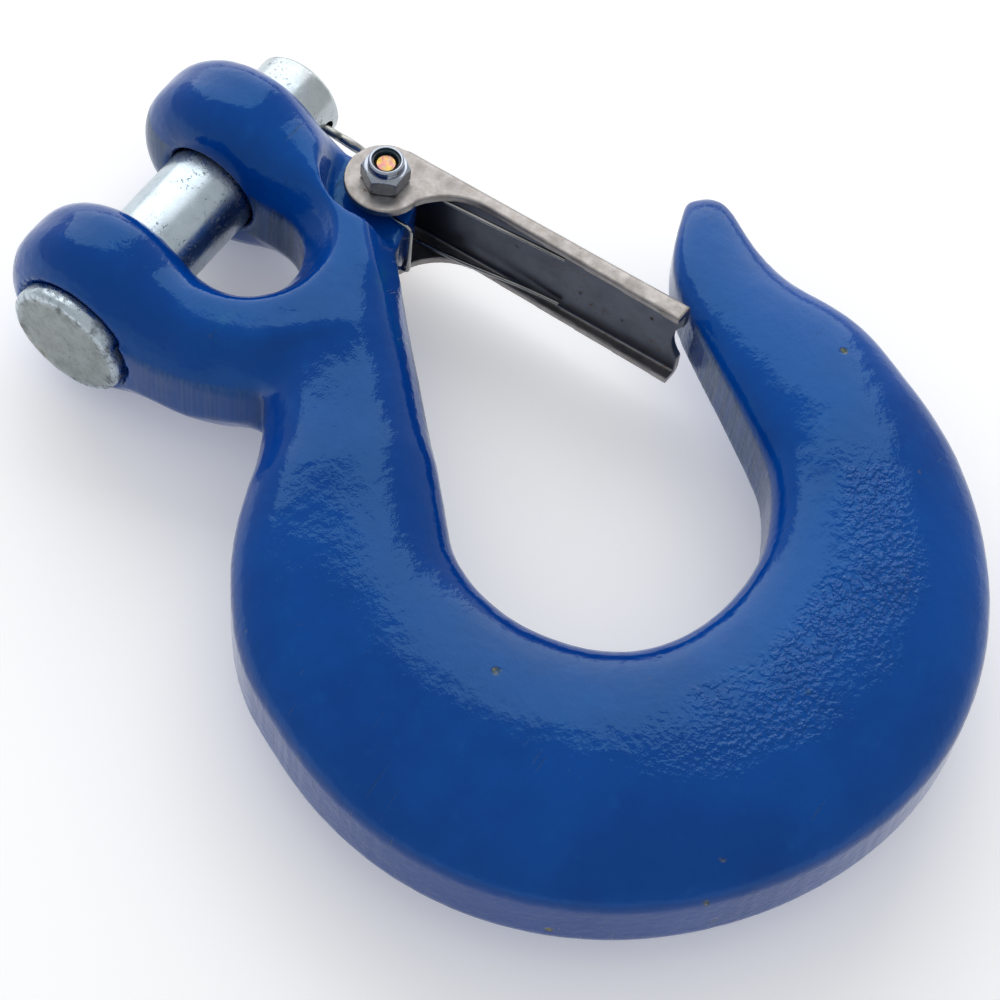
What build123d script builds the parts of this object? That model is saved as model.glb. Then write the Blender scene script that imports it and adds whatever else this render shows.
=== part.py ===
from build123d import *
import math
import os

# Clevis slip hook with a spring latch, in millimetres.
# Origin: on the load pin axis, midway between the two ears.
# +X runs along the load pin from its head to its cotter.
# +Y is the load line, pointing away from the bowl.
# +Z is square to the flat of the hook; z = 0 is the parting plane of the forging.

# ---- clevis ears and fork
gap_half = 8.7
ear_outer = 26.4
ear_radius = 16.6
ear_round = 7.2
eye_lifts = (-0.6, 0.3)
pin_radius = 7.95
pin_hole_clearance = 0.1
pin_hole_chamfer = 1.0
seat_x = 25.4
seat_radius = 11.0
seat_end_x = 32.0
crotch_y = -14.6
fork_bulge = (-26.9, -11.0)
fork_waist = (-24.8, -22.8)
neck_corner = (-19.3, -32.7)
neck_inner = (-2.0, -49.5)
fork_heel = (23.3, -24.2)
fork_shoulder = (26.3, -12.5)
fork_half_z = 13.3
fork_top_z = 14.3
fork_start_y = 4.0
fork_end_y = -50.0
fork_round = 2.6
fork_round_start_y = -2.0
fork_draft = 31

# ---- shank, bowl and point: inner edge, outer edge and half thickness at each station,
# from the point round the bowl and up the shank to the fork
arm_stations = (
    ((54.0, -63.8), (56.8, -66.2), 1.5),
    ((51.4, -64.6), (56.9, -69.6), 3.6),
    ((43.5, -67.8), (53.2, -75.8), 6.0),
    ((34.9, -74.9), (49.6, -83.2), 7.8),
    ((29.2, -83.6), (48.4, -90.0), 9.4),
    ((24.6, -91.0), (48.2, -97.0), 10.6),
    ((19.6, -98.5), (46.0, -106.0), 11.6),
    ((13.0, -105.3), (39.8, -119.5), 12.4),
    ((5.0, -109.3), (25.0, -137.0), 13.0),
    ((-4.3, -110.4), (-3.5, -149.6), 13.0),
    ((-17.0, -107.2), (-34.0, -144.4), 13.0),
    ((-25.8, -98.2), (-59.5, -123.0), 13.0),
    ((-28.8, -86.0), (-69.3, -92.0), 13.0),
    ((-26.4, -75.0), (-65.2, -71.0), 13.0),
    ((-21.2, -68.5), (-55.5, -54.0), 13.0),
    ((-16.0, -63.5), (-46.5, -46.5), 13.0),
    ((-10.5, -58.0), (-36.5, -41.3), 13.0),
    ((-5.5, -53.0), (-27.5, -37.5), 13.0),
    ((-0.5, -48.0), (-21.0, -33.5), 13.0),
    ((3.4, -43.8), (-16.0, -30.5), 12.8),
    ((6.6, -40.6), (-12.0, -28.0), 12.4),
)
band_half = 5.4
band_share_at_point = 0.5
shoulder_share = 1.04
shoulder_inset_share = 0.05

# ---- latch lug on the right ear
bolt_x = 22.55
bolt_y = -25.0
lug_half_z = 5.4
lug_radius = 5.4
lug_foot = (12.0, -33.0)
lug_foot_radius = 1.0
lug_head = (23.5, -16.5)
lug_head_radius = 2.5
lug_bay_radius = 10.4
lug_bolt_clearance = 0.05
overcut = 1.0

# ---- load pin and cotter
head_radius = 10.3
head_inner_x = -25.5
head_outer_x = -28.7
head_round = 1.1
pin_end_x = 34.4
pin_end_chamfer = 0.9
cotter_x = 30.4
cotter_hole_radius = 1.6
cotter_wire_radius = 0.72
cotter_leg_gap = 0.05
cotter_turn = 62
cotter_leg_end_y = 8.05
cotter_tip_y = -15.0
cotter_eye_radius = 2.2
cotter_neck_radius = 3.0
cotter_bend_radius = 1.05
cotter_wrap_radius = 6.6
cotter_wrap_turn = 55

# ---- latch, as it lies closed
latch_half_z = 9.5
sheet = 1.5
latch_ear_radius = 6.7
latch_bore_clearance = 0.1
web_top = (29.8, -24.6)
web_end = (32.3, -77.8)
lip_end = (28.6, -77.7)
lip_start = (27.9, -42.5)
lip_flare = (25.8, -35.2)
lip_ear = (21.7, -31.6)
fold_round = 1.2
notch_radius = 7.35
notch_depth = 1.7

# ---- latch bolt, nut and nylon ring
bolt_radius = 2.0
thread_clearance = 0.02
bolt_head_half = 3.5
bolt_head_height = 2.8
bolt_end_z = 13.5
bolt_end_chamfer = 0.5
nut_half = 3.5
nut_hex_height = 3.4
nut_height = 5.0
nut_chamfer = 0.45
nut_collar_radius = 2.9
nut_collar_round = 0.35
nylon_radius = 2.35
nylon_height = 1.1

# ---- latch spring
wire_radius = 0.36
coil_radius = 3.1
coil_pitch = 0.95
coil_start_z = 6.02
coil_half_turns = 3
bar = (18.95, -32.9)
bar_corner = 1.0
leg_end = (29.1, -56.0, 6.3)

os.makedirs("parts", exist_ok=True)


# Section across the arm: a flat trimmed band at each edge and a dome above and below it.
def arm_section(inner, outer, half_z):
    dx = outer[0] - inner[0]
    dy = outer[1] - inner[1]
    width = math.hypot(dx, dy)
    middle = ((inner[0] + outer[0]) / 2, (inner[1] + outer[1]) / 2, 0)
    band = min(band_half, half_z * band_share_at_point)
    shoulder = half_z * shoulder_share
    # middle control height that brings the top of a five-point Bezier arch to half_z
    crown = (half_z - band / 8 - shoulder / 2) * 8 / 3
    inset = width * shoulder_inset_share
    plane = Plane(origin=middle, x_dir=(dx, dy, 0), z_dir=(-dy, dx, 0))
    with BuildSketch(plane) as section:
        with BuildLine():
            Line((-width / 2, -band), (-width / 2, band))
            Bezier((-width / 2, band), (-width / 2 + inset, shoulder), (0, crown),
                   (width / 2 - inset, shoulder), (width / 2, band))
            Line((width / 2, band), (width / 2, -band))
            Bezier((width / 2, -band), (width / 2 - inset, -shoulder), (0, -crown),
                   (-width / 2 + inset, -shoulder), (-width / 2, -band))
        make_face()
    return section.sketch


with BuildPart() as hook_body:
    # fork: plan outline, then the side profile that thins it towards the shank
    with BuildSketch(Plane.XY.offset(band_half)) as fork_plan:
        with BuildLine():
            Spline((-ear_outer, fork_start_y), fork_bulge, fork_waist, neck_corner)
            Line(neck_corner, neck_inner)
            Line(neck_inner, fork_heel)
            Spline(fork_heel, fork_shoulder, (ear_outer, fork_start_y))
            Line((ear_outer, fork_start_y), (gap_half, fork_start_y))
            Line((gap_half, fork_start_y), (gap_half, crotch_y))
            ThreePointArc((gap_half, crotch_y), (0, crotch_y - gap_half), (-gap_half, crotch_y))
            Line((-gap_half, crotch_y), (-gap_half, fork_start_y))
            Line((-gap_half, fork_start_y), (-ear_outer, fork_start_y))
        make_face()
    extrude(amount=-band_half)
    extrude(fork_plan.sketch, amount=ear_radius - band_half, taper=fork_draft)
    mirror(about=Plane.XY)
    with BuildSketch(Plane.YZ):
        with BuildLine():
            Polyline((fork_start_y, fork_top_z), (fork_end_y, fork_half_z), (fork_end_y, -fork_half_z),
                     (fork_start_y, -fork_top_z), close=True)
        make_face()
    extrude(amount=ear_outer * 2, both=True, mode=Mode.INTERSECT)
    rims = hook_body.edges().filter_by(
        lambda e: abs(e.center().Z) > fork_half_z * 0.96 and e.center().Y < fork_round_start_y)
    fillet(rims, fork_round)

    # eyes: thick rounded rings about the pin axis
    for side, lift in zip((-1, 1), eye_lifts):
        with BuildSketch(Plane.XY) as eye_section:
            with Locations((side * (ear_outer + gap_half) / 2, lift + ear_radius / 2)):
                Rectangle(ear_outer - gap_half, ear_radius)
            fillet(eye_section.vertices().group_by(Axis.Y)[-1], ear_round)
        revolve(axis=Axis((0, lift, 0), (1, 0, 0)))

    # point, bowl and shank in one loft
    loft([arm_section(inner, outer, half_z) for inner, outer, half_z in arm_stations])

    # bay on each side of the lug, where the latch ears and the spring coils turn
    for side in (-1, 1):
        with BuildSketch(Plane.XY.offset(side * lug_half_z)):
            with Locations((bolt_x, bolt_y)):
                Circle(lug_bay_radius)
        extrude(amount=side * ear_radius, mode=Mode.SUBTRACT)

    # lug on the parting plane, drilled for the latch bolt
    with BuildSketch(Plane.XY.offset(-lug_half_z)):
        with Locations((bolt_x, bolt_y)):
            Circle(lug_radius)
        with Locations(lug_foot):
            Circle(lug_foot_radius)
        with Locations(lug_head):
            Circle(lug_head_radius)
        make_hull()
    extrude(amount=2 * lug_half_z)
    with BuildSketch(Plane.XY.offset(-lug_half_z - overcut)):
        with Locations((bolt_x, bolt_y)):
            Circle(bolt_radius + lug_bolt_clearance)
    extrude(amount=2 * (lug_half_z + overcut), mode=Mode.SUBTRACT)

    # pin hole through both eyes with broken edges, and the seats faced for the head and the cotter
    hole_radius = pin_radius + pin_hole_clearance
    rim_radius = hole_radius + pin_hole_chamfer
    with BuildSketch(Plane.XY):
        with BuildLine():
            Polyline((0, 0), (0, rim_radius), (gap_half, rim_radius),
                     (gap_half + pin_hole_chamfer, hole_radius),
                     (seat_x - pin_hole_chamfer, hole_radius), (seat_x, rim_radius),
                     (seat_x, seat_radius), (seat_end_x, seat_radius), (seat_end_x, 0), close=True)
        make_face()
        mirror(about=Plane.YZ)
    revolve(axis=Axis.X, mode=Mode.SUBTRACT)

with BuildPart() as clevis_pin:
    with BuildSketch(Plane.YZ.offset(head_inner_x)):
        Circle(pin_radius)
    extrude(amount=pin_end_x - head_inner_x)
    chamfer(clevis_pin.edges().group_by(Axis.X)[-1], pin_end_chamfer)
    with BuildSketch(Plane.YZ.offset(head_outer_x)):
        Circle(head_radius)
    extrude(amount=head_inner_x - head_outer_x)
    fillet(clevis_pin.edges().group_by(Axis.X)[0], head_round)
    with BuildSketch(Plane.XZ.offset(-2 * pin_radius)):
        with Locations((cotter_x, 0)):
            Circle(cotter_hole_radius)
    extrude(amount=4 * pin_radius, mode=Mode.SUBTRACT)


# A point of the cotter, leaned by that angle about Y so that its eye stands towards +Z.
def cotter_point(across, y, lean_angle=cotter_turn):
    lean = math.radians(lean_angle)
    return (cotter_x + across * math.cos(lean), y, -across * math.sin(lean))


# A point of the tight bend where a cotter leg leaves its hole, after that many degrees.
def bend_point(across, degrees):
    turn = math.radians(degrees)
    return (cotter_x + across, cotter_leg_end_y + cotter_bend_radius * math.sin(turn),
            cotter_bend_radius * (math.cos(turn) - 1))


# A point of the slack curve that takes the leg on round the back of the clevis pin.
def wrap_point(across, degrees):
    turn = math.radians(degrees)
    return (cotter_x + across,
            cotter_leg_end_y + cotter_bend_radius + cotter_wrap_radius * (math.cos(turn) - 1),
            -cotter_bend_radius - cotter_wrap_radius * math.sin(turn))


with BuildPart() as cotter_pin:
    half = cotter_wire_radius + cotter_leg_gap
    # the eye is a round loop, joined to the legs by two outward curves
    eye_centre_y = cotter_tip_y + cotter_eye_radius
    join_turn = math.acos((half + cotter_neck_radius) / (cotter_eye_radius + cotter_neck_radius))
    neck_y = eye_centre_y + (cotter_eye_radius + cotter_neck_radius) * math.sin(join_turn)
    join = (cotter_eye_radius * math.cos(join_turn), eye_centre_y + cotter_eye_radius * math.sin(join_turn))
    neck_middle = (half + cotter_neck_radius * (1 - math.cos(join_turn / 2)),
                   neck_y - cotter_neck_radius * math.sin(join_turn / 2))
    middle_y = (cotter_leg_end_y + neck_y) / 2
    with BuildLine() as cotter_path:
        ThreePointArc(wrap_point(-half, cotter_wrap_turn), wrap_point(-half, cotter_wrap_turn / 2),
                      wrap_point(-half, 0))
        ThreePointArc(bend_point(-half, 90), bend_point(-half, 45), bend_point(-half, 0))
        # the legs twist in the hole, from side by side to the leaned eye
        Spline(cotter_point(-half, cotter_leg_end_y, 0),
               cotter_point(-half, middle_y, cotter_turn / 2),
               cotter_point(-half, neck_y),
               tangents=[(0, -1, 0), (0, -1, 0)])
        ThreePointArc(cotter_point(-half, neck_y), cotter_point(-neck_middle[0], neck_middle[1]),
                      cotter_point(-join[0], join[1]))
        ThreePointArc(cotter_point(-join[0], join[1]), cotter_point(0, cotter_tip_y), cotter_point(*join))
        ThreePointArc(cotter_point(*join), cotter_point(*neck_middle), cotter_point(half, neck_y))
        Spline(cotter_point(half, neck_y),
               cotter_point(half, middle_y, cotter_turn / 2),
               cotter_point(half, cotter_leg_end_y, 0),
               tangents=[(0, 1, 0), (0, 1, 0)])
        ThreePointArc(bend_point(half, 0), bend_point(half, 45), bend_point(half, 90))
        ThreePointArc(wrap_point(half, 0), wrap_point(half, cotter_wrap_turn / 2),
                      wrap_point(half, cotter_wrap_turn))
    with BuildSketch(Plane(origin=cotter_path.line @ 0, z_dir=cotter_path.line % 0)):
        Circle(cotter_wire_radius)
    sweep(path=cotter_path.line)

with BuildPart() as latch:
    # side plan of the folded channel, solid at first
    with BuildSketch(Plane.XY.offset(-latch_half_z)):
        with BuildLine():
            Polyline((bolt_x, bolt_y), web_top, web_end, lip_end, lip_start)
            ThreePointArc(lip_start, lip_flare, lip_ear)
            Line(lip_ear, (bolt_x, bolt_y))
        make_face()
        with Locations((bolt_x, bolt_y)):
            Circle(latch_ear_radius)
    extrude(amount=2 * latch_half_z)
    web_middle_y = (web_top[1] + web_end[1]) / 2
    folds = latch.edges().filter_by(GeomType.LINE).filter_by(
        lambda e: abs(e.center().Y - web_middle_y) < sheet and e.length > abs(web_middle_y))
    fillet(folds, fold_round)
    # inside of the channel, open towards the bowl and at the ears
    web_slope = (web_end[0] - web_top[0]) / (web_end[1] - web_top[1])
    below_y = web_end[1] - latch_ear_radius
    above_y = bolt_y + 2 * latch_ear_radius
    with BuildSketch(Plane.XY.offset(-latch_half_z + sheet)):
        with BuildLine():
            Polyline((web_top[0] - sheet, web_top[1]), (web_top[0] + sheet, web_top[1]),
                     (web_top[0] + sheet, above_y), (0, above_y), (0, below_y),
                     (web_top[0] - sheet + web_slope * (below_y - web_top[1]), below_y), close=True)
        make_face()
    extrude(amount=2 * (latch_half_z - sheet), mode=Mode.SUBTRACT)
    # bolt hole through both ears
    with BuildSketch(Plane.XY.offset(-latch_half_z)):
        with Locations((bolt_x, bolt_y)):
            Circle(bolt_radius + latch_bore_clearance)
    extrude(amount=2 * latch_half_z, mode=Mode.SUBTRACT)
    # rounded notch that clears the point of the hook
    with BuildSketch(Plane.YZ.offset(web_end[0] - 2 * sheet)):
        with Locations((web_end[1] + notch_depth - notch_radius, 0)):
            Circle(notch_radius)
    extrude(amount=4 * sheet, mode=Mode.SUBTRACT)

with BuildPart() as latch_bolt:
    with BuildSketch(Plane.XY.offset(-latch_half_z)):
        with Locations((bolt_x, bolt_y)):
            Circle(bolt_radius)
    extrude(amount=latch_half_z + bolt_end_z)
    chamfer(latch_bolt.edges().group_by(Axis.Z)[-1], bolt_end_chamfer)
    with BuildSketch(Plane.XY.offset(-latch_half_z)):
        with Locations((bolt_x, bolt_y)):
            RegularPolygon(bolt_head_half, 6, major_radius=False)
    extrude(amount=-bolt_head_height)
    chamfer(latch_bolt.edges().group_by(Axis.Z)[0], nut_chamfer)

with BuildPart() as latch_nut:
    with BuildSketch(Plane.XY.offset(latch_half_z)):
        with Locations((bolt_x, bolt_y)):
            RegularPolygon(nut_half, 6, major_radius=False)
    extrude(amount=nut_hex_height)
    chamfer(latch_nut.edges().group_by(Axis.Z)[-1], nut_chamfer)
    chamfer(latch_nut.edges().group_by(Axis.Z)[0], nut_chamfer)
    with BuildSketch(Plane.XY.offset(latch_half_z + nut_hex_height)):
        with Locations((bolt_x, bolt_y)):
            Circle(nut_collar_radius)
    extrude(amount=nut_height - nut_hex_height)
    fillet(latch_nut.edges().group_by(Axis.Z)[-1], nut_collar_round)
    with BuildSketch(Plane.XY.offset(latch_half_z)):
        with Locations((bolt_x, bolt_y)):
            Circle(bolt_radius + thread_clearance)
    extrude(amount=nut_height, mode=Mode.SUBTRACT)
    with BuildSketch(Plane.XY.offset(latch_half_z + nut_hex_height)):
        with Locations((bolt_x, bolt_y)):
            Circle(nylon_radius)
    extrude(amount=nut_height, mode=Mode.SUBTRACT)

with BuildPart() as nut_insert:
    with BuildSketch(Plane.XY.offset(latch_half_z + nut_hex_height)):
        with Locations((bolt_x, bolt_y)):
            Circle(nylon_radius)
            Circle(bolt_radius + thread_clearance, mode=Mode.SUBTRACT)
    extrude(amount=nylon_height)

with BuildPart() as latch_spring:
    with BuildLine() as spring_path:
        Line((bar[0], bar[1], 0), (bar[0], bar[1], coil_start_z - bar_corner))
        reach = bar_corner * math.sin(math.radians(45))
        ThreePointArc((bar[0], bar[1], coil_start_z - bar_corner),
                      (bar[0], bar[1] + bar_corner - reach, coil_start_z - bar_corner + reach),
                      (bar[0], bar[1] + bar_corner, coil_start_z))
        Spline((bar[0], bar[1] + bar_corner, coil_start_z),
               (bolt_x - coil_radius, bolt_y, coil_start_z),
               tangents=[(0, 1, 0), (0, 1, 0)])
        # half turns over and under the bolt, each one tilted to climb half a pitch
        for half_turn in range(coil_half_turns):
            side = 1 if half_turn % 2 == 0 else -1
            low_z = coil_start_z + half_turn * coil_pitch / 2
            ThreePointArc((bolt_x - side * coil_radius, bolt_y, low_z),
                          (bolt_x, bolt_y + side * coil_radius, low_z + coil_pitch / 4),
                          (bolt_x + side * coil_radius, bolt_y, low_z + coil_pitch / 2))
        Spline((bolt_x + coil_radius, bolt_y, coil_start_z + coil_half_turns * coil_pitch / 2), leg_end,
               tangents=[(0, -1, 0), (0.1, -1, 0)])
    with BuildSketch(Plane.XY):
        with Locations(bar):
            Circle(wire_radius)
    sweep(path=spring_path.line)
    mirror(about=Plane.XY)

for part_name, builder in (
    ("hook_body", hook_body),
    ("clevis_pin", clevis_pin),
    ("cotter_pin", cotter_pin),
    ("latch", latch),
    ("latch_bolt", latch_bolt),
    ("latch_nut", latch_nut),
    ("nut_insert", nut_insert),
    ("latch_spring", latch_spring),
):
    builder.part.label = part_name
    export_step(builder.part, f"parts/{part_name}.step")
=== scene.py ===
import math

import bmesh
import bpy
import numpy as np
from mathutils import Matrix, Quaternion, Vector, noise


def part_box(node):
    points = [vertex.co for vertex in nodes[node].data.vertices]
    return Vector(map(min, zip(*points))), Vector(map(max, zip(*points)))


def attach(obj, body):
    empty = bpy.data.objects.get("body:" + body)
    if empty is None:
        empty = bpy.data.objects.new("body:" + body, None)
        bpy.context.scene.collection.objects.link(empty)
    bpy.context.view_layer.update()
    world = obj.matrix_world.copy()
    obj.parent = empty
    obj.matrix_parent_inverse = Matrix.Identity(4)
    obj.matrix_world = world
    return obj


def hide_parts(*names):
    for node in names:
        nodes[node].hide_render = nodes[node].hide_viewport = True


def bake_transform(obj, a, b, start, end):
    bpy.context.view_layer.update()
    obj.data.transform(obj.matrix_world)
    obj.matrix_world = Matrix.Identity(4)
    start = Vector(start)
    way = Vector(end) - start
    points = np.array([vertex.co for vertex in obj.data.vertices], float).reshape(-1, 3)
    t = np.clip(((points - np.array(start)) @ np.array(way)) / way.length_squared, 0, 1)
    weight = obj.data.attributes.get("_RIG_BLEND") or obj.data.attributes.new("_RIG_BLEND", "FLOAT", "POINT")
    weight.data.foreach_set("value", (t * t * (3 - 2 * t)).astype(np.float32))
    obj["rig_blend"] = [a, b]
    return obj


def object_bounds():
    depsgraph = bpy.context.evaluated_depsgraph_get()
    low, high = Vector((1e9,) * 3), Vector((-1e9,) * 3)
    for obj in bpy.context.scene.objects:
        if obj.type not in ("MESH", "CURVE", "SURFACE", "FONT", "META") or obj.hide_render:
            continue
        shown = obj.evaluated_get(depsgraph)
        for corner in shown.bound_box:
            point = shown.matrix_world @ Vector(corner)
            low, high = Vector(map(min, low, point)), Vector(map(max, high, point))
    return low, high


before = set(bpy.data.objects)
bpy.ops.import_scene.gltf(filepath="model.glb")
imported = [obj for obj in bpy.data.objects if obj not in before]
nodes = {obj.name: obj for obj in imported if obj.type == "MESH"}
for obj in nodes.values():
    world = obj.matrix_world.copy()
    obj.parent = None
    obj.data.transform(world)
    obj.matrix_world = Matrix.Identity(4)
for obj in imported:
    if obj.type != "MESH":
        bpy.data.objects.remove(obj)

# Clevis slip hook with a spring latch, lying flat on a pale floor.
# The frame's axes: X along the clevis pin, Y along the load line, Z square to the hook's flat.

cad_low, cad_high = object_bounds()
MM = 0.001

# places in plan
BOLT = np.array([22.55, -25.0]) * MM        # axis of the latch bolt
BOWL = np.array([-4.2, -85.8]) * MM         # middle of the bowl
NECK_A = np.array([-19.3, -32.7]) * MM      # ends of the neck crease between fork and shank
NECK_B = np.array([-2.0, -49.5]) * MM

# forged body
BAND = 5.4 * MM                             # half height of the trimmed band on the parting plane
EAR_OUT = 25.4 * MM                         # faced seat on the outside of an ear
EAR_IN = 8.7 * MM                           # inside face of an ear
EYE_RADIUS = 16.6 * MM
BODY_VOXEL = 0.42 * MM
NECK_ROUNDS = 320                           # smoothing rounds at the fine voxel
BODY_ROUNDS = 10
WAVE_SPACING, WAVE_DEPTH = 8 * MM, 0.055    # these four depths are in millimetres
DENT_SPACING, DENT_DEPTH = 2.8 * MM, 0.03
LUMP_SPACING, LUMP_DEPTH = 1.5 * MM, 0.07
STROKE_SPACING, STROKE_LENGTH, STROKE_DEPTH = 0.9 * MM, 14 * MM, 0.05

# clevis pin
PIN_RADIUS = 7.95 * MM
HEAD_THICKNESS = 3.2 * MM
HEAD_RIM = 1.1 * MM                         # rounding between the head's face and its side
HEAD_BACK_ROUND = 0.6 * MM                  # rounding between the head's side and its back
PIN_CHAMFER = 0.9 * MM
PIN_SIDES = 144
COTTER_X = 30.4 * MM                        # place of the cotter's hole along the pin
COTTER_HOLE = 1.6 * MM                      # radius

# latch and nut
LATCH_LEAN = math.atan2(2.5, 53.2)          # lean of the latch's web from the load line
LATCH_VOXEL = 0.2 * MM
CHEEK_IN = 8.0 * MM                         # inside face of a cheek, from the parting plane
NUT_HEX_HEIGHT = 3.4 * MM
NUT_COLLAR = 2.9 * MM                       # radius of the collar that holds the nylon ring
NUT_BORE = 2.02 * MM                        # radius
NUT_RECESS = 2.35 * MM                      # radius of the nylon ring's recess
NUT_SIDES = 120


# ------------------------------------------------------------------ mesh helpers

def link(obj):
    bpy.context.scene.collection.objects.link(obj)
    return obj


def mesh_object(name, points, faces):
    mesh = bpy.data.meshes.new(name)
    mesh.from_pydata([tuple(p) for p in points], [], faces)
    mesh.validate()
    mesh.update()
    return link(bpy.data.objects.new(name, mesh))


def shade_smooth(obj, angle=None):
    """Shades smooth, with edges sharper than that angle in degrees left sharp."""
    mesh = obj.data
    mesh.polygons.foreach_set("use_smooth", np.ones(len(mesh.polygons), bool))
    if angle is not None:
        mesh.set_sharp_from_angle(angle=math.radians(angle))
    mesh.update()


def get_points(mesh):
    co = np.empty(len(mesh.vertices) * 3, np.float32)
    mesh.vertices.foreach_get("co", co)
    return co.reshape(-1, 3).astype(np.float64)


def set_points(mesh, co):
    mesh.vertices.foreach_set("co", co.astype(np.float32).ravel())
    mesh.update()


def get_normals(mesh):
    out = np.empty(len(mesh.vertices) * 3, np.float32)
    mesh.vertex_normals.foreach_get("vector", out)
    return out.reshape(-1, 3).astype(np.float64)


def store(mesh, name, values):
    attribute = mesh.attributes.get(name) or mesh.attributes.new(name, "FLOAT", "POINT")
    attribute.data.foreach_set("value", values.astype(np.float32))


def apply_modifiers(obj):
    """Replaces the object's mesh by its evaluated mesh and drops the modifiers."""
    depsgraph = bpy.context.evaluated_depsgraph_get()
    mesh = bpy.data.meshes.new_from_object(obj.evaluated_get(depsgraph))
    obj.modifiers.clear()
    old = obj.data
    obj.data = mesh
    mesh.name = obj.name
    if old.users == 0:
        bpy.data.meshes.remove(old)


def copy_of(node, name):
    """A free copy of a CAD node's mesh, welded, with no materials."""
    mesh = nodes[node].data.copy()
    mesh.name = name
    mesh.materials.clear()
    obj = link(bpy.data.objects.new(name, mesh))
    work = bmesh.new()
    work.from_mesh(mesh)
    bmesh.ops.remove_doubles(work, verts=work.verts, dist=1e-6)
    bmesh.ops.recalc_face_normals(work, faces=work.faces)
    work.to_mesh(mesh)
    work.free()
    for attribute in [a for a in mesh.attributes if a.name.startswith("custom_normal")]:
        mesh.attributes.remove(attribute)
    return obj


def remesh(obj, voxel):
    mod = obj.modifiers.new("remesh", "REMESH")
    mod.mode = "VOXEL"
    mod.voxel_size = voxel
    mod.adaptivity = 0.0
    apply_modifiers(obj)


def edge_pairs(mesh):
    pairs = np.empty(len(mesh.edges) * 2, np.int32)
    mesh.edges.foreach_get("vertices", pairs)
    return pairs.reshape(-1, 2)


def relax(co, pairs, weight, rounds):
    """Moves each point towards the mean of its neighbours, by its own weight."""
    moving = weight > 0.001
    used, local = np.unique(pairs[moving[pairs].any(axis=1)], return_inverse=True)
    local = local.reshape(-1, 2)
    a, b = local[:, 0], local[:, 1]
    part = co[used]
    w = np.where(moving, weight, 0)[used][:, None]
    count = np.bincount(local.ravel(), minlength=len(used)).astype(np.float64)[:, None]
    for _ in range(rounds):
        total = np.empty_like(part)
        for k in range(3):
            total[:, k] = (np.bincount(a, part[b, k], minlength=len(used))
                           + np.bincount(b, part[a, k], minlength=len(used)))
        part = part + w * (total / count - part)
    co = co.copy()
    co[used] = part
    return co


def smoothstep(low, high, x):
    t = np.clip((x - low) / (high - low), 0, 1)
    return t * t * (3 - 2 * t)


def hump(x, middle, width):
    """A bell of height 1 about the middle."""
    return np.exp(-(((x - middle) / width) ** 2))


def fbm(points, scale, octaves=3, offset=(0, 0, 0)):
    """Smooth noise of about -1..1 at each point, with the features scale metres apart."""
    out = np.empty(len(points))
    shift = Vector(offset)
    for i, p in enumerate(points):
        out[i] = noise.fractal(Vector(p) / scale + shift, 1.0, 2.0, octaves,
                               noise_basis="PERLIN_ORIGINAL")
    return out


def ring_faces(rings, sides, closed=False):
    """Quads between rings of points, and from the last ring back to the first if closed."""
    faces = []
    for i in range(rings if closed else rings - 1):
        j = (i + 1) % rings
        for k in range(sides):
            n = (k + 1) % sides
            faces.append((i * sides + k, i * sides + n, j * sides + n, j * sides + k))
    return faces


def rod(name, centres, radius, sides):
    """A closed round rod through those points of one straight line."""
    centres = [Vector(p) for p in centres]
    axis = (centres[1] - centres[0]).normalized()
    side = axis.orthogonal().normalized()
    other = axis.cross(side)
    points = []
    for centre in centres:
        for k in range(sides):
            angle = 2 * math.pi * k / sides
            points.append(centre + (side * math.cos(angle) + other * math.sin(angle)) * radius)
    faces = ring_faces(len(centres), sides)
    faces.append(tuple(range(sides))[::-1])
    last = (len(centres) - 1) * sides
    faces.append(tuple(range(last, last + sides)))
    obj = mesh_object(name, points, faces)
    shade_smooth(obj, 50)
    return obj


# ------------------------------------------------------------------ material helper

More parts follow.
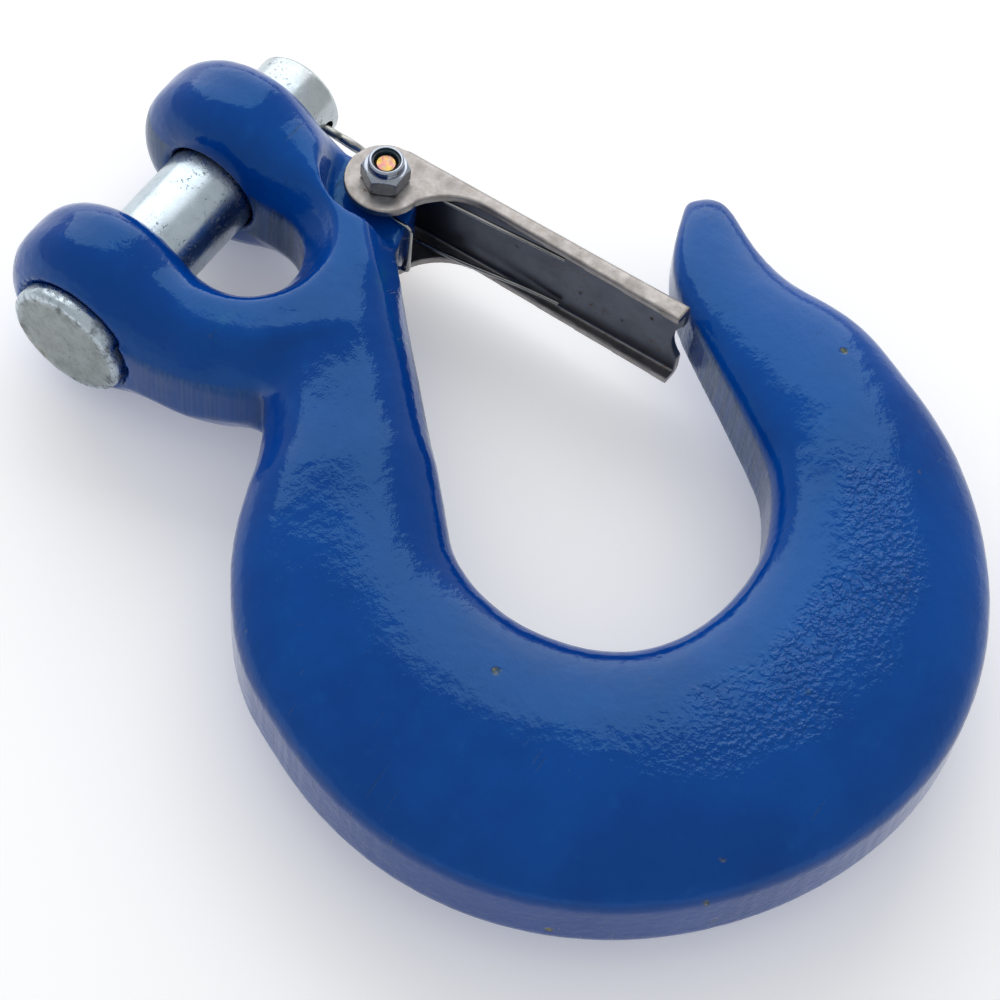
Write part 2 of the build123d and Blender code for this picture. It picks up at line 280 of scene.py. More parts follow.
class Material:
    """A node material built by short calls, most of which return an output socket."""

    def __init__(self, name, **settings):
        self.material = bpy.data.materials.new(name)
        self.material.use_nodes = True
        self.tree = self.material.node_tree
        self.tree.nodes.clear()
        output = self.tree.nodes.new("ShaderNodeOutputMaterial")
        self.shader = self.tree.nodes.new("ShaderNodeBsdfPrincipled")
        self.tree.links.new(self.shader.outputs[0], output.inputs[0])
        for key, value in settings.items():
            self.shader.inputs[key.replace("_", " ")].default_value = value
        self.object_space = self.add("ShaderNodeTexCoord").outputs["Object"]

    def add(self, kind, **settings):
        """A new node with those settings."""
        made = self.tree.nodes.new(kind)
        for key, value in settings.items():
            setattr(made, key, value)
        return made

    def plug(self, socket, value):
        if isinstance(value, bpy.types.NodeSocket):
            self.tree.links.new(value, socket)
        else:
            socket.default_value = value

    def noise(self, scale, detail=4.0, roughness=0.55, vector=None, distortion=0.0):
        """Noise of about 0..1, with about that many features to the metre."""
        made = self.add("ShaderNodeTexNoise")
        self.plug(made.inputs["Vector"], vector or self.object_space)
        made.inputs["Scale"].default_value = scale
        made.inputs["Detail"].default_value = detail
        made.inputs["Roughness"].default_value = roughness
        made.inputs["Distortion"].default_value = distortion
        return made.outputs["Fac"]

    def cells(self, scale):
        """Distance to the nearest of scattered points, about that many of them to the metre."""
        made = self.add("ShaderNodeTexVoronoi", feature="F1")
        self.plug(made.inputs["Vector"], self.object_space)
        made.inputs["Scale"].default_value = scale
        made.inputs["Randomness"].default_value = 1.0
        return made.outputs["Distance"]

    def lines(self, x, y, z, detail, roughness):
        """Noise drawn out into lines, with x, y and z features to the metre on each axis."""
        stretch = self.add("ShaderNodeMapping")
        self.plug(stretch.inputs["Vector"], self.object_space)
        stretch.inputs["Scale"].default_value = (x, y, z)
        return self.noise(1.0, detail, roughness, vector=stretch.outputs[0])

    def remap(self, value, low, high, to_low=0.0, to_high=1.0):
        made = self.add("ShaderNodeMapRange", interpolation_type="SMOOTHSTEP")
        self.plug(made.inputs["Value"], value)
        for socket, number in zip(("From Min", "From Max", "To Min", "To Max"),
                                  (low, high, to_low, to_high)):
            made.inputs[socket].default_value = number
        return made.outputs[0]

    def math(self, operation, a, b):
        made = self.add("ShaderNodeMath", operation=operation)
        self.plug(made.inputs[0], a)
        self.plug(made.inputs[1], b)
        return made.outputs[0]

    def times(self, a, b):
        return self.math("MULTIPLY", a, b)

    def plus(self, a, b):
        return self.math("ADD", a, b)

    def minus(self, a, b):
        return self.math("SUBTRACT", a, b)

    def blend(self, factor, a, b):
        made = self.add("ShaderNodeMix", data_type="RGBA")
        self.plug(made.inputs[0], factor)
        self.plug(made.inputs[6], a)
        self.plug(made.inputs[7], b)
        return made.outputs[2]

    def attribute(self, name):
        return self.add("ShaderNodeAttribute", attribute_name=name).outputs["Fac"]

    def bump(self, height, distance, strength=1.0, normal=None):
        """Bump of that depth in metres, on top of another bump if given."""
        made = self.add("ShaderNodeBump")
        self.plug(made.inputs["Height"], height)
        made.inputs["Distance"].default_value = distance
        self.plug(made.inputs["Strength"], strength)
        if normal is not None:
            self.plug(made.inputs["Normal"], normal)
        return made.outputs[0]

    def set(self, socket, value):
        self.plug(self.shader.inputs[socket], value)


def rgb(red, green, blue):
    """Linear colour from 0-255 screen values."""
    def linear(v):
        v /= 255
        return v / 12.92 if v <= 0.04045 else ((v + 0.055) / 1.055) ** 2.4
    return (linear(red), linear(green), linear(blue), 1.0)


# ------------------------------------------------------------------ materials

def enamel():
    """Glossy blue enamel over a lumpy forging, greyer on the trimmed band, with painted shade on the side
    walls and in the pin's bores.
    """
    m = Material("enamel_blue", Metallic=0.0, IOR=1.45)
    m.set("Specular IOR Level", 0.46)
    m.set("Specular Tint", (0.36, 0.86, 1.0, 1.0))
    hammer = m.attribute("hammer")
    trim = m.attribute("trim")
    bore_shade = m.attribute("recess")
    wall_shade = m.attribute("wall_shade")
    base = m.blend(m.remap(m.noise(28, 5, 0.6), 0.35, 0.68), rgb(0, 53, 133), rgb(2, 66, 151))
    base = m.blend(m.remap(m.noise(240, 4, 0.6), 0.55, 0.8, 0, 0.35), base, rgb(8, 78, 158))
    # painted shade: the side walls, most of all round the outside of the bowl, darkened towards a deeper
    # blue
    base = m.blend(m.remap(wall_shade, 0.5, 1.0, 0.0, 0.6), base, rgb(0, 42, 120))
    # thin greenish-grey stains where the coat runs thin
    stain = m.times(m.remap(m.noise(75, 6, 0.7), 0.6, 0.75), m.remap(m.noise(17, 2), 0.5, 0.62))
    base = m.blend(m.times(stain, 0.6), base, rgb(8, 86, 130))
    # small chips down to dark and golden primer
    chip = m.times(m.remap(m.cells(150), 0.15, 0.08), m.remap(m.noise(48, 2), 0.58, 0.63))
    primer = m.blend(m.remap(m.noise(900, 2), 0.4, 0.6), rgb(34, 44, 48), rgb(120, 112, 66))
    base = m.blend(chip, base, primer)
    # a few fine scratches along the clevis pin's direction
    lines = m.lines(90, 1400, 90, 3, 0.5)
    scratch = m.times(m.remap(lines, 0.67, 0.70), m.remap(m.noise(40, 2), 0.52, 0.62))
    base = m.blend(m.times(scratch, 0.5), base, rgb(30, 52, 90))
    # trimmed band: greyish, with strokes square to the parting plane
    strokes = m.lines(1900, 1900, 60, 4, 0.65)
    coarse = m.lines(420, 420, 30, 3, 0.6)
    grey = m.blend(m.remap(strokes, 0.35, 0.7), rgb(28, 44, 78), rgb(78, 94, 120))
    worn = m.times(trim, m.remap(coarse, 0.35, 0.62, 0.4, 0.75))
    base = m.blend(worn, base, grey)
    # painted shade: near black inside the bores of the pin's holes
    base = m.blend(m.times(bore_shade, 0.85), base, rgb(8, 12, 20))
    m.set("Base Color", base)
    rough = m.remap(m.noise(45, 5, 0.6), 0.35, 0.7, 0.05, 0.12)
    rough = m.plus(rough, m.times(m.remap(m.noise(420, 3), 0.5, 0.8), 0.04))
    rough = m.plus(rough, m.times(worn, 0.22))
    rough = m.plus(rough, m.times(chip, 0.4))
    rough = m.minus(rough, m.times(hammer, 0.05))
    m.set("Roughness", rough)
    # bump: forging waves, orange peel, struck skin, trimming strokes, then chips and scratches
    normal = m.bump(m.noise(230, 3, 0.5), 0.12 * MM, 0.6)
    normal = m.bump(m.noise(700, 3, 0.6), 0.12 * MM, 0.6, normal)
    lumps = m.remap(m.noise(1000, 2, 0.5), 0.38, 0.66)
    normal = m.bump(lumps, 0.3 * MM, m.times(hammer, 0.9), normal)
    normal = m.bump(strokes, 0.06 * MM, m.times(trim, 0.5), normal)
    normal = m.bump(m.minus(1.0, m.plus(chip, scratch)), 0.12 * MM, 0.7, normal)
    m.set("Normal", normal)
    return m.material


def zinc(name, bright, dull, rough_low, rough_high):
    """Zinc-plated steel with faint drawing lines, dark scuffs on the worn places and small stains."""
    m = Material(name, Metallic=1.0)
    worn = m.attribute("wear_and_shade")
    base = m.blend(m.remap(m.noise(130, 5, 0.65), 0.3, 0.72), rgb(*bright), rgb(*dull))
    spots = m.times(m.remap(m.noise(520, 4, 0.7), 0.62, 0.72), m.remap(m.noise(90, 2), 0.46, 0.6))
    base = m.blend(m.times(spots, 0.65), base, rgb(96, 84, 66))
    scuff_and_shade = m.times(worn, m.remap(m.noise(380, 6, 0.75), 0.45, 0.62))
    base = m.blend(m.times(scuff_and_shade, 0.85), base, rgb(48, 50, 54))
    m.set("Base Color", base)
    rough = m.remap(m.noise(300, 4, 0.6), 0.3, 0.75, rough_low, rough_high)
    rough = m.plus(rough, m.times(worn, 0.2))
    rough = m.plus(rough, m.times(spots, 0.2))
    m.set("Roughness", rough)
    normal = m.bump(m.lines(900, 900, 60, 4, 0.6), 0.02 * MM, 0.35)
    normal = m.bump(m.noise(650, 4, 0.6), 0.05 * MM, 0.35, normal)
    normal = m.bump(m.minus(1.0, m.plus(spots, scuff_and_shade)), 0.06 * MM, 0.5, normal)
    m.set("Normal", normal)
    return m.material


def pin_zinc():
    """Bright bluish zinc on the shank, a dull struck face on the head, dark scuffs at the rim, and painted
    shade where the shank runs into the ears.
    """
    m = Material("pin_zinc_plate", Metallic=1.0)
    worn = m.attribute("wear_and_shade")
    face = m.attribute("face")
    base = m.blend(m.remap(m.noise(150, 5, 0.65), 0.3, 0.72), rgb(190, 202, 210), rgb(172, 185, 194))
    struck = m.blend(m.remap(m.noise(420, 5, 0.7), 0.35, 0.7), rgb(150, 156, 156), rgb(134, 140, 139))
    base = m.blend(m.times(face, 0.9), base, struck)
    spots = m.times(m.remap(m.noise(1500, 4, 0.75), 0.58, 0.66), m.remap(m.noise(160, 3), 0.42, 0.6))
    base = m.blend(m.times(spots, 0.75), base, rgb(70, 74, 76))
    # dark scuffs at the rim and the end, and painted shade where the shank runs into the ears
    scuff_and_shade = m.times(worn, m.remap(m.noise(420, 6, 0.8, distortion=0.4), 0.46, 0.64))
    base = m.blend(m.times(scuff_and_shade, 0.8), base, rgb(62, 60, 60))
    base = m.blend(m.remap(m.noise(45, 3), 0.5, 0.7, 0, 0.25), base, rgb(176, 168, 148))
    m.set("Base Color", base)
    rough = m.remap(m.noise(420, 4, 0.6), 0.3, 0.75, 0.20, 0.30)
    rough = m.plus(rough, m.times(face, 0.3))
    rough = m.plus(rough, m.times(scuff_and_shade, 0.25))
    m.set("Roughness", rough)
    normal = m.bump(m.lines(1600, 60, 60, 4, 0.6), 0.02 * MM, 0.3)
    normal = m.bump(m.noise(520, 4, 0.6), 0.02 * MM, 0.35, normal)
    normal = m.bump(m.minus(1.0, m.plus(spots, scuff_and_shade)), 0.08 * MM, 0.5, normal)
    m.set("Normal", normal)
    return m.material


def latch_steel():
    """Galvanised sheet: warm grey outside, with painted shade making it darker and bluer inside the channel,
    brown specks.
    """
    m = Material("latch_sheet", Metallic=1.0)
    inner = m.attribute("inner")
    base = m.blend(m.remap(m.noise(420, 6, 0.7), 0.3, 0.7), rgb(160, 156, 154), rgb(136, 131, 127))
    # painted shade: the inside of the channel darker and bluer
    base = m.blend(m.times(inner, 0.9), base, rgb(74, 82, 96))
    rust = m.times(m.remap(m.noise(900, 5, 0.75), 0.56, 0.66), m.remap(m.noise(110, 2), 0.54, 0.62))
    base = m.blend(m.times(rust, 0.7), base, rgb(104, 76, 54))
    pits = m.times(m.remap(m.cells(260), 0.16, 0.08), m.remap(m.noise(120, 2), 0.58, 0.64))
    base = m.blend(pits, base, rgb(52, 46, 40))
    m.set("Base Color", base)
    rough = m.remap(m.noise(230, 5, 0.65), 0.3, 0.75, 0.28, 0.5)
    m.set("Roughness", m.plus(rough, m.times(rust, 0.25)))
    normal = m.bump(m.lines(1400, 40, 1400, 4, 0.6), 0.03 * MM, 0.4)
    normal = m.bump(m.noise(320, 5, 0.6), 0.1 * MM, 0.35, normal)
    normal = m.bump(m.minus(1.0, pits), 0.2 * MM, 0.7, normal)
    m.set("Normal", normal)
    return m.material


def nylon():
    """Dark teal nylon, faintly mottled."""
    m = Material("nylon_teal", Metallic=0.0, IOR=1.53)
    m.set("Base Color", m.blend(m.remap(m.noise(900, 4), 0.35, 0.7), rgb(10, 34, 46), rgb(28, 64, 78)))
    m.set("Roughness", m.remap(m.noise(1500, 3), 0.3, 0.7, 0.25, 0.5))
    m.set("Normal", m.bump(m.noise(2200, 3), 0.03 * MM, 0.5))
    return m.material


def passivated():
    """Yellow chromate on the bolt, shifting from gold to pink."""
    m = Material("bolt_passivated", Metallic=1.0)
    base = m.blend(m.remap(m.noise(600, 3, 0.5), 0.4, 0.6), rgb(186, 156, 88), rgb(186, 126, 124))
    base = m.blend(m.remap(m.noise(1500, 3), 0.55, 0.7, 0, 0.5), base, rgb(150, 170, 160))
    m.set("Base Color", base)
    m.set("Roughness", m.remap(m.noise(1100, 3), 0.3, 0.7, 0.25, 0.42))
    m.set("Normal", m.bump(m.noise(1800, 3), 0.03 * MM, 0.5))
    return m.material


def floor_paper():
    """White paper that glows a little, so that it stays white around the soft shadow."""
    m = Material("floor_paper", Metallic=0.0)
    base = m.blend(m.remap(m.noise(6, 3), 0.3, 0.7), (0.93, 0.93, 0.93, 1), (0.95, 0.95, 0.95, 1))
    m.set("Base Color", base)
    m.set("Emission Color", (1, 1, 1, 1))
    m.set("Emission Strength", 0.2)
    m.set("Roughness", m.remap(m.noise(90, 3), 0.3, 0.7, 0.8, 0.9))
    m.set("Normal", m.bump(m.noise(900, 3), 0.05 * MM, 0.2))
    return m.material


# ------------------------------------------------------------------ forged body

def dip_fork_face(co):
    """Lowers the fork's flat face a little towards the crotch."""
    dip = smoothstep(-42 * MM, -20 * MM, co[:, 1]) * smoothstep(10.5 * MM, 12.0 * MM, np.abs(co[:, 2]))
    dip *= 1 - smoothstep(-14 * MM, -8 * MM, co[:, 1])
    co[:, 2] -= np.sign(co[:, 2]) * 0.5 * MM * dip


def crisp_places(co):
    """1 at the pin's holes and seats and at the latch lug, which keep the CAD's shape."""
    x, y, z = co.T
    from_axis = np.hypot(y, z)
    near_hole = 1 - smoothstep(11.4 * MM, 13.0 * MM, from_axis)
    outside = smoothstep(EAR_OUT - 0.6 * MM, EAR_OUT, np.abs(x))
    hole = 1 - smoothstep(8.9 * MM, 9.8 * MM, from_axis)
    seat = np.maximum(hole, near_hole * outside)
    lug = 1 - smoothstep(7.0 * MM, 9.0 * MM, np.linalg.norm(co[:, :2] - BOLT, axis=1))
    lug *= 1 - smoothstep(6.0 * MM, 8.0 * MM, np.abs(z))
    return np.maximum(seat, lug)


def from_neck(xy):
    """Distance from the neck crease, in plan."""
    span = NECK_B - NECK_A
    t = np.clip(((xy - NECK_A) @ span) / (span @ span), 0, 1)
    return np.linalg.norm(xy - (NECK_A + t[:, None] * span), axis=1)


def neck_places(co):
    """1 along the neck crease, which melts into one flowing shoulder."""
    xy = co[:, :2]
    height = np.abs(co[:, 2])
    neck = 1 - smoothstep(9 * MM, 17 * MM, from_neck(xy))
    neck *= smoothstep(3.5 * MM, 7.0 * MM, height)
    # the fork's flat face stays flat nearly down to the crease
    along_neck = (NECK_B - NECK_A) / np.linalg.norm(NECK_B - NECK_A)
    down = (xy - NECK_A) @ along_neck
    inward = (xy - NECK_A) @ np.array([-along_neck[1], along_neck[0]])
    neck *= 1 - smoothstep(0.5 * MM, 4.5 * MM, inward) * (1 - smoothstep(12 * MM, 20 * MM, down))
    return neck


def eye_join_places(co):
    """1 where the eyes run into the fork."""
    y, z = co[:, 1], co[:, 2]
    join = hump(np.hypot(y, z), EYE_RADIUS, 3.5 * MM) * smoothstep(-2 * MM, -7 * MM, y)
    return join * smoothstep(4 * MM, 7 * MM, np.abs(z))


def struck_skin(co, start, dome):
    """1 on the struck patch on the crown of the bowl; start holds the points before smoothing."""
    x, y = start[:, 0], start[:, 1]
    radial = np.linalg.norm(start[:, :2] - BOWL, axis=1)
    heading = np.degrees(np.arctan2(y - BOWL[1], x - BOWL[0]))
    sector = smoothstep(-150, -110, heading) * (1 - smoothstep(-52, -36, heading))
    # the patch is wider towards the bottom of the bowl
    reach = (8 * smoothstep(-40, -85, heading)) * MM
    ring = smoothstep(33 * MM, 38 * MM, radial) * (1 - smoothstep(39 * MM, 46 * MM, radial - reach))
    patch = smoothstep(-0.45, 0.15, fbm(co, 12 * MM, 2, (0.5, 9.1, 2.2)))
    return np.clip(sector * ring * (0.3 + 0.7 * patch), 0, 1) * dome


def trim_strokes(co):
    """Noise drawn out square to the parting plane, all round the bowl."""
    # length along a circle of 45 mm about the middle of the bowl
    along = np.arctan2(co[:, 1] - BOWL[1], co[:, 0] - BOWL[0]) * 45 * MM
    return np.array([noise.noise(Vector((a / STROKE_SPACING, z / STROKE_LENGTH, 3.3)))
                     for a, z in zip(along, co[:, 2])])


def store_body_masks(mesh, co, crisp, hammer):
    x, y, z = co.T
    radial = np.linalg.norm(co[:, :2] - BOWL, axis=1)
    side_wall = 1 - smoothstep(0.35, 0.6, np.abs(get_normals(mesh)[:, 2]))
    # the enamel hides the trimming all along the outside of the bowl
    outer_rim = smoothstep(36 * MM, 42 * MM, radial) * (1 - smoothstep(-50 * MM, -44 * MM, y))
    trimmed = (1 - smoothstep(BAND - 0.2 * MM, BAND + 0.15 * MM, np.abs(z))) * side_wall * (1 - crisp)
    below_head = smoothstep(-6 * MM, -12 * MM, x) * smoothstep(-50 * MM, -46 * MM, y)
    # painted shade in the bores of the pin's holes
    bore = (1 - smoothstep(8.2 * MM, 8.7 * MM, np.hypot(y, z))) * smoothstep(7 * MM, 8 * MM, np.abs(x))
    store(mesh, "hammer", hammer)
    store(mesh, "trim", trimmed * (1 - outer_rim) * (1 - 0.5 * below_head))
    # painted shade on the side walls, stronger round the outside of the bowl
    store(mesh, "wall_shade", side_wall * (1 - crisp) * (0.6 + 0.4 * outer_rim))
    store(mesh, "recess", bore)


def forged_body():
    obj = copy_of("hook_body", "hook_forging")
    voxel = BODY_VOXEL
    # coarser voxels need fewer smoothing rounds for the same reach
    share = (BODY_VOXEL / voxel) ** 2
    remesh(obj, voxel)
    mesh = obj.data
    start = get_points(mesh)
    dip_fork_face(start)
    crisp = crisp_places(start)
    band = 1 - smoothstep(BAND - 0.6 * MM, BAND + 0.8 * MM, np.abs(start[:, 2]))
    dome = 1 - band
    # creases melt, and all edges round off a little
    pairs = edge_pairs(mesh)
    melting = np.clip(neck_places(start) + 0.5 * eye_join_places(start), 0, 1) * (1 - crisp)
    co = relax(start, pairs, melting * 0.8, int(NECK_ROUNDS * share))
    rounding = np.clip(0.55 * (1 - crisp) * (1 - 0.6 * band) + 0.15, 0, 1)
    co = relax(co, pairs, rounding, max(int(BODY_ROUNDS * share), 2))
    set_points(mesh, co)
    # forging waves and small dents, pressed inwards so the piece stays in its box
    normal = get_normals(mesh)
    waves = fbm(co, WAVE_SPACING, 2, (3.1, 0.4, 7.7))
    dents = fbm(co, DENT_SPACING, 2, (11.3, 5.2, 1.9))
    depth = (WAVE_DEPTH * (1 + waves) + DENT_DEPTH * (1 + dents)) * MM
    co = co - normal * (depth * (0.25 + 0.75 * dome) * (1 - crisp))[:, None]
    # struck lumps on the crown of the bowl, on the side towards the point
    hammer = struck_skin(co, start, dome)
    struck = np.flatnonzero(hammer > 0.01)
    lumps = np.zeros(len(co))
    lumps[struck] = fbm(co[struck], LUMP_SPACING, 1, (7.7, 3.1, 5.9))
    co = co - normal * (LUMP_DEPTH * MM * (0.5 + lumps) * hammer)[:, None]
    # strokes of the trimming press, square to the parting plane
    co = co - normal * (STROKE_DEPTH * MM * (0.5 + trim_strokes(co)) * band * (1 - crisp))[:, None]
    set_points(mesh, co)
    shade_smooth(obj)
    store_body_masks(mesh, co, crisp, hammer)
    obj.data.materials.append(enamel())
    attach(obj, "hook")
    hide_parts("hook_body")


# ------------------------------------------------------------------ clevis pin

def head_face_depth(step):
    """Depth of the head's face, step tenths out from its middle: dished to a high ring, then falling."""
    if step < 7:
        return (0.10 - 0.10 * (step / 10) ** 2) * MM
    return 0.02 * MM * (step - 7) ** 1.5


def pin_profile(head_face, end, head_radius):
    """(distance along X, radius) from the middle of the head's face to the middle of the far end."""
    head_back = head_face + HEAD_THICKNESS
    flat = head_radius - HEAD_RIM
    profile = [(head_face + head_face_depth(0), 0.0)]
    profile += [(head_face + head_face_depth(step), flat * step / 10) for step in range(1, 11)]
    profile += [(head_face + 0.10 * MM + (HEAD_RIM - 0.10 * MM) * (1 - math.cos(a)),
                 flat + HEAD_RIM * math.sin(a))
                for a in np.linspace(0.12, math.pi / 2, 8)]
    profile += [(head_back - HEAD_BACK_ROUND + HEAD_BACK_ROUND * math.sin(a),
                 head_radius - HEAD_BACK_ROUND + HEAD_BACK_ROUND * math.cos(a))
                for a in np.linspace(0, math.pi / 2, 6)]
    # a small fillet under the head, then the straight shank
    profile += [(head_back, PIN_RADIUS + 0.3 * MM), (head_back + 0.25 * MM, PIN_RADIUS)]
    profile += [(float(p), PIN_RADIUS) for p in np.linspace(head_back + 1 * MM, end - 1.4 * MM, 60)]
    # a chamfer with softened edges
    end_radius = PIN_RADIUS - PIN_CHAMFER - 0.2 * MM
    profile += [(end - PIN_CHAMFER - 0.12 * MM, PIN_RADIUS),
                (end - PIN_CHAMFER + 0.1 * MM, PIN_RADIUS - 0.1 * MM),
                (end - 0.15 * MM, PIN_RADIUS - PIN_CHAMFER + 0.1 * MM),
                (end, end_radius)]
    profile += [(end, end_radius * k / 6) for k in range(5, -1, -1)]
    return profile


def turned_on_x(name, profile, sides):
    """A closed solid turned about the X axis, whose profile starts and ends on that axis."""
    inner = profile[1:-1]
    points = [(profile[0][0], 0, 0)]
    for along, radius in inner:
        for k in range(sides):
            a = 2 * math.pi * k / sides
            points.append((along, radius * math.cos(a), radius * math.sin(a)))
    points.append((profile[-1][0], 0, 0))
    last = len(points) - 1
    faces = []
    for k in range(sides):
        n = (k + 1) % sides
        faces.append((0, 1 + k, 1 + n))
        for i in range(len(inner) - 1):
            a, b = 1 + i * sides, 1 + (i + 1) * sides
            faces.append((a + k, b + k, b + n, a + n))
        a = 1 + (len(inner) - 1) * sides
        faces.append((a + k, last, a + n))
    return mesh_object(name, points, faces)


def drill_cotter_hole(obj):
    drill = rod("drill", [(COTTER_X, (-12 + k) * MM, 0) for k in range(0, 25, 4)], COTTER_HOLE, 40)
    cut = obj.modifiers.new("cotter_hole", "BOOLEAN")
    cut.object = drill
    cut.operation = "DIFFERENCE"
    cut.solver = "EXACT"
    apply_modifiers(obj)
    bpy.data.objects.remove(drill)


def clevis_pin():
    low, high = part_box("clevis_pin")
    head_radius = high.y
    head_back = low.x + HEAD_THICKNESS
    obj = turned_on_x("clevis_pin_zinc", pin_profile(low.x, high.x, head_radius), PIN_SIDES)
    # struck face and dinged rim
    mesh = obj.data
    co = get_points(mesh)
    on_head = 1 - smoothstep(head_back - 0.6 * MM, head_back, co[:, 0])
    ding = fbm(co, 1.4 * MM, 3, (4.4, 8.8, 0.3))
    edge = hump(np.hypot(co[:, 1], co[:, 2]), head_radius - 0.6 * MM, 1.3 * MM) * on_head
    depth = (0.012 * (1 + ding) * on_head + 0.02 * (1 + ding) * edge) * MM
    set_points(mesh, co - get_normals(mesh) * depth[:, None])
    drill_cotter_hole(obj)
    shade_smooth(obj, 38)
    # masks for the material
    mesh = obj.data
    co = get_points(mesh)
    radius = np.hypot(co[:, 1], co[:, 2])
    on_head = 1 - smoothstep(head_back - 0.3 * MM, head_back, co[:, 0])
    face = on_head * (1 - smoothstep(head_radius - 1.3 * MM, head_radius - 0.8 * MM, radius))
    rim_wear = on_head * hump(radius, head_radius - 0.8 * MM, 1.2 * MM)
    tail_wear = 0.35 * smoothstep(high.x - 2.2 * MM, high.x - 0.8 * MM, co[:, 0])
    # painted shade: the shank darkens where it runs into the ears, through the same mask as the wear
    ear_shade = hump(np.abs(co[:, 0]), EAR_IN, 1.6 * MM) * 0.5
    store(mesh, "wear_and_shade", np.clip(rim_wear + tail_wear + ear_shade, 0, 1))
    store(mesh, "face", face)
    obj.data.materials.append(pin_zinc())
    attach(obj, "pin")
    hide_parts("clevis_pin")


# ------------------------------------------------------------------ latch

def latch_channel():
    obj = copy_of("latch", "latch_channel")
    # the web stands square to the voxels while the channel is remeshed
    pivot = Matrix.Translation((BOLT[0], BOLT[1], 0))
    upright = pivot @ Matrix.Rotation(-LATCH_LEAN, 4, "Z") @ pivot.inverted()
    obj.data.transform(upright)
    remesh(obj, LATCH_VOXEL)
    mesh = obj.data
    co = get_points(mesh)
    bore = 1 - smoothstep(2.6 * MM, 3.2 * MM, np.linalg.norm(co[:, :2] - BOLT, axis=1))
    co = relax(co, edge_pairs(mesh), 0.5 * (1 - bore), 4)
    set_points(mesh, co)
    mesh.transform(upright.inverted())
    # slight unevenness of the sheet, pressed inwards
    co = get_points(mesh)
    normal = get_normals(mesh)
    bends = fbm(co, 9 * MM, 2, (6.1, 2.3, 4.9))
    co = co - normal * (0.02 * MM * (1 + bends) * (1 - bore))[:, None]
    set_points(mesh, co)
    shade_smooth(obj)
    # painted shade on the inside of the channel: the inner faces of the cheeks and of the web
    x, height = co[:, 0], np.abs(co[:, 2])
    cheek = smoothstep(CHEEK_IN - 0.1 * MM, CHEEK_IN + 0.3 * MM, height)
    cheek_in_shade = smoothstep(0.2, 0.7, -normal[:, 2] * np.sign(co[:, 2])) * cheek
    web_in_shade = smoothstep(0.2, 0.7, -normal[:, 0])
    web_in_shade *= 1 - smoothstep(CHEEK_IN - 0.2 * MM, CHEEK_IN + 0.2 * MM, height)
    web_in_shade *= smoothstep(26.5 * MM, 27.5 * MM, x)
    store(mesh, "inner", np.clip(cheek_in_shade + web_in_shade, 0, 1))
    mesh.materials.append(latch_steel())
    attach(obj, "latch")
    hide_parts("latch")


# ------------------------------------------------------------------ nut, bolt, nylon ring, spring, cotter

def hex_radius(across_half, angle):
    """Distance from the middle to the side of a hexagon, in that direction."""
    return across_half / math.cos(math.radians((math.degrees(angle) % 60) - 30))


def nut_rows(bottom, top, half):
    """Rings of the nut, each (function of the angle or plain radius, height), outside then inside."""
    flat_top = bottom + NUT_HEX_HEIGHT
    slope = math.tan(math.radians(58))

    def chamfered(height):
        limit = half * 0.95 + min(height - bottom, flat_top - height) * slope
        return lambda angle: min(hex_radius(half, angle), limit)

    chamfer_steps = (0.08, 0.16, 0.24, 0.34, 0.46, 0.6)
    heights = [bottom + h * MM for h in chamfer_steps + (1.2, 2.2)]
    heights += [flat_top - h * MM for h in reversed(chamfer_steps)]
    rows = [(NUT_BORE, bottom), (half * 0.6, bottom), (half * 0.95, bottom)]
    rows += [(chamfered(h), h) for h in heights]
    # the round collar that holds the nylon ring, rolled over at its top
    rows += [(half * 0.93, flat_top), (NUT_COLLAR + 0.25 * MM, flat_top),
             (NUT_COLLAR + 0.06 * MM, flat_top + 0.08 * MM),
             (NUT_COLLAR, flat_top + 0.25 * MM), (NUT_COLLAR, top - 0.5 * MM)]
    rows += [(NUT_COLLAR - 0.4 * MM + 0.4 * MM * math.cos(a), top - 0.42 * MM + 0.4 * MM * math.sin(a))
             for a in np.linspace(0.15, math.pi / 2, 7)]
    rows += [(2.42 * MM, top - 0.02 * MM), (2.36 * MM, top - 0.1 * MM),
             (NUT_RECESS, flat_top + 0.02 * MM), (2.1 * MM, flat_top), (NUT_BORE, flat_top - 0.1 * MM)]
    return rows


def lock_nut():
    low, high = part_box("latch_nut")
    rows = nut_rows(low.z, high.z, (high.y - low.y) / 2)
    points = []
    for radius, height in rows:
        for k in range(NUT_SIDES):
            angle = 2 * math.pi * k / NUT_SIDES
            r = radius(angle) if callable(radius) else radius
            points.append((BOLT[0] + r * math.cos(angle), BOLT[1] + r * math.sin(angle), height))
    obj = mesh_object("latch_nut_zinc", points, ring_faces(len(rows), NUT_SIDES, closed=True))
    shade_smooth(obj, 32)
    # the hexagon's corners are worn
    radius = np.linalg.norm(get_points(obj.data)[:, :2] - BOLT, axis=1)
    store(obj.data, "wear_and_shade", smoothstep(3.75 * MM, 4.0 * MM, radius))
    obj.data.materials.append(zinc("nut_zinc", (172, 178, 188), (120, 128, 142), 0.10, 0.22))
    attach(obj, "hook")
    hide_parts("latch_nut")


def dress(node, material):
    """Gives a CAD node its material."""
    obj = nodes[node]
    obj.data.materials.clear()
    obj.data.materials.append(material)
    store(obj.data, "wear_and_shade", np.zeros(len(obj.data.vertices)))


def latch_spring():
    obj = copy_of("latch_spring", "latch_spring_wire")
    shade_smooth(obj, 60)
    store(obj.data, "wear_and_shade", np.zeros(len(obj.data.vertices)))
    obj.data.materials.append(zinc("spring_wire", (176, 176, 172), (140, 140, 136), 0.14, 0.3))
    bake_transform(obj, "hook", "latch", start=(20.4 * MM, BOLT[1], 0), end=(25.7 * MM, BOLT[1], 0))
    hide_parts("latch_spring")


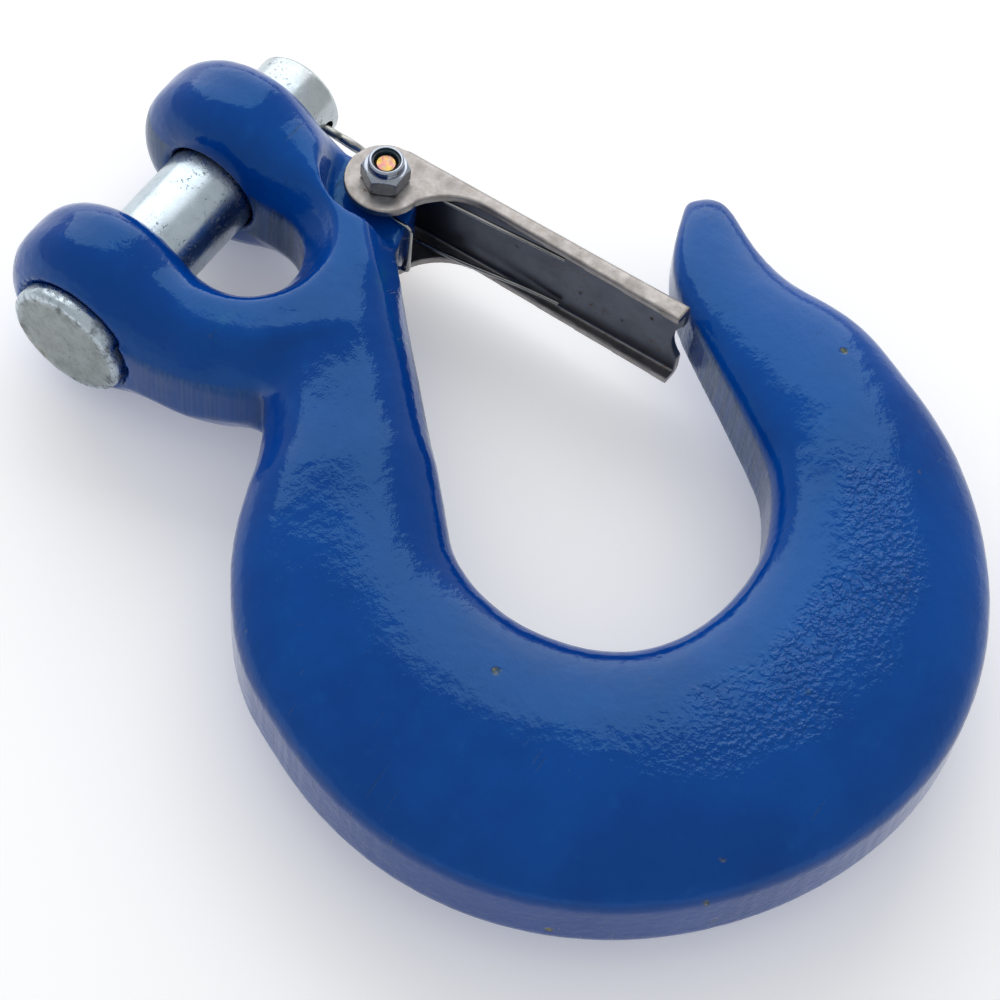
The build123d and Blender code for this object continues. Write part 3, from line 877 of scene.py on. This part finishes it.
forged_body()
clevis_pin()
latch_channel()
lock_nut()
latch_spring()
dress("cotter_pin", zinc("cotter_wire", (186, 186, 182), (146, 146, 142), 0.25, 0.42))
dress("nut_insert", nylon())
dress("latch_bolt", passivated())


# ------------------------------------------------------------------ floor, light, camera

FLOOR_HALF, FLOOR_ROWS, FLOOR_MIDDLE_Y = 1.6, 48, -0.08
SKY_COLOUR = (0.97, 0.985, 1.0, 1)
SKY_LIGHT = 0.66
BOX_PLACE = (0.341, 0.254, 0.300)
BOX_TARGET = (-0.066, 0.0, 0.0)
BOX_WIDTH, BOX_HEIGHT = 0.72, 0.6
BOX_ROLL = -10                              # degrees
BOX_POWER = 2.2                             # watts
CAMERA_PLACE = (-0.2163, -0.1787, 0.4018)
CAMERA_RIGHT = (0.5686, -0.8194, 0.0721)
CAMERA_UP = (0.6926, 0.5242, 0.4954)
CAMERA_LENS, CAMERA_SENSOR = 108, 36        # millimetres


def lay_floor():
    points = [(-FLOOR_HALF + 2 * FLOOR_HALF * i / FLOOR_ROWS,
               -FLOOR_HALF + 2 * FLOOR_HALF * j / FLOOR_ROWS + FLOOR_MIDDLE_Y, cad_low.z)
              for i in range(FLOOR_ROWS + 1) for j in range(FLOOR_ROWS + 1)]
    step = FLOOR_ROWS + 1
    faces = [(i * step + j, (i + 1) * step + j, (i + 1) * step + j + 1, i * step + j + 1)
             for i in range(FLOOR_ROWS) for j in range(FLOOR_ROWS)]
    floor = mesh_object("floor", points, faces)
    floor.data.materials.append(floor_paper())


def light_sky():
    world = bpy.data.worlds.new("studio")
    world.use_nodes = True
    background = world.node_tree.nodes["Background"]
    background.inputs[0].default_value = SKY_COLOUR
    background.inputs[1].default_value = SKY_LIGHT
    bpy.context.scene.world = world


def hang_softbox():
    light = bpy.data.lights.new("softbox", "AREA")
    light.shape = "RECTANGLE"
    light.size, light.size_y = BOX_WIDTH, BOX_HEIGHT
    light.energy = BOX_POWER
    box = link(bpy.data.objects.new("softbox", light))
    box.location = BOX_PLACE
    direction = Vector(BOX_TARGET) - Vector(BOX_PLACE)
    facing = direction.to_track_quat("-Z", "Y") @ Quaternion((0, 0, 1), math.radians(BOX_ROLL))
    box.rotation_euler = facing.to_euler()


def place_camera():
    """The lens looks down at the hook's flat, 30 degrees off square to it."""
    data = bpy.data.cameras.new("camera")
    data.lens = CAMERA_LENS
    data.sensor_width = CAMERA_SENSOR
    data.clip_start = 0.01
    camera = link(bpy.data.objects.new("camera", data))
    right = Vector(CAMERA_RIGHT)
    back = right.cross(Vector(CAMERA_UP)).normalized()
    up = back.cross(right).normalized()
    turn = Matrix((right.normalized(), up, back)).transposed().to_4x4()
    camera.matrix_world = Matrix.Translation(CAMERA_PLACE) @ turn
    bpy.context.scene.camera = camera


lay_floor()
light_sky()
hang_softbox()
place_camera()
bpy.context.scene.view_settings.view_transform = "Standard"
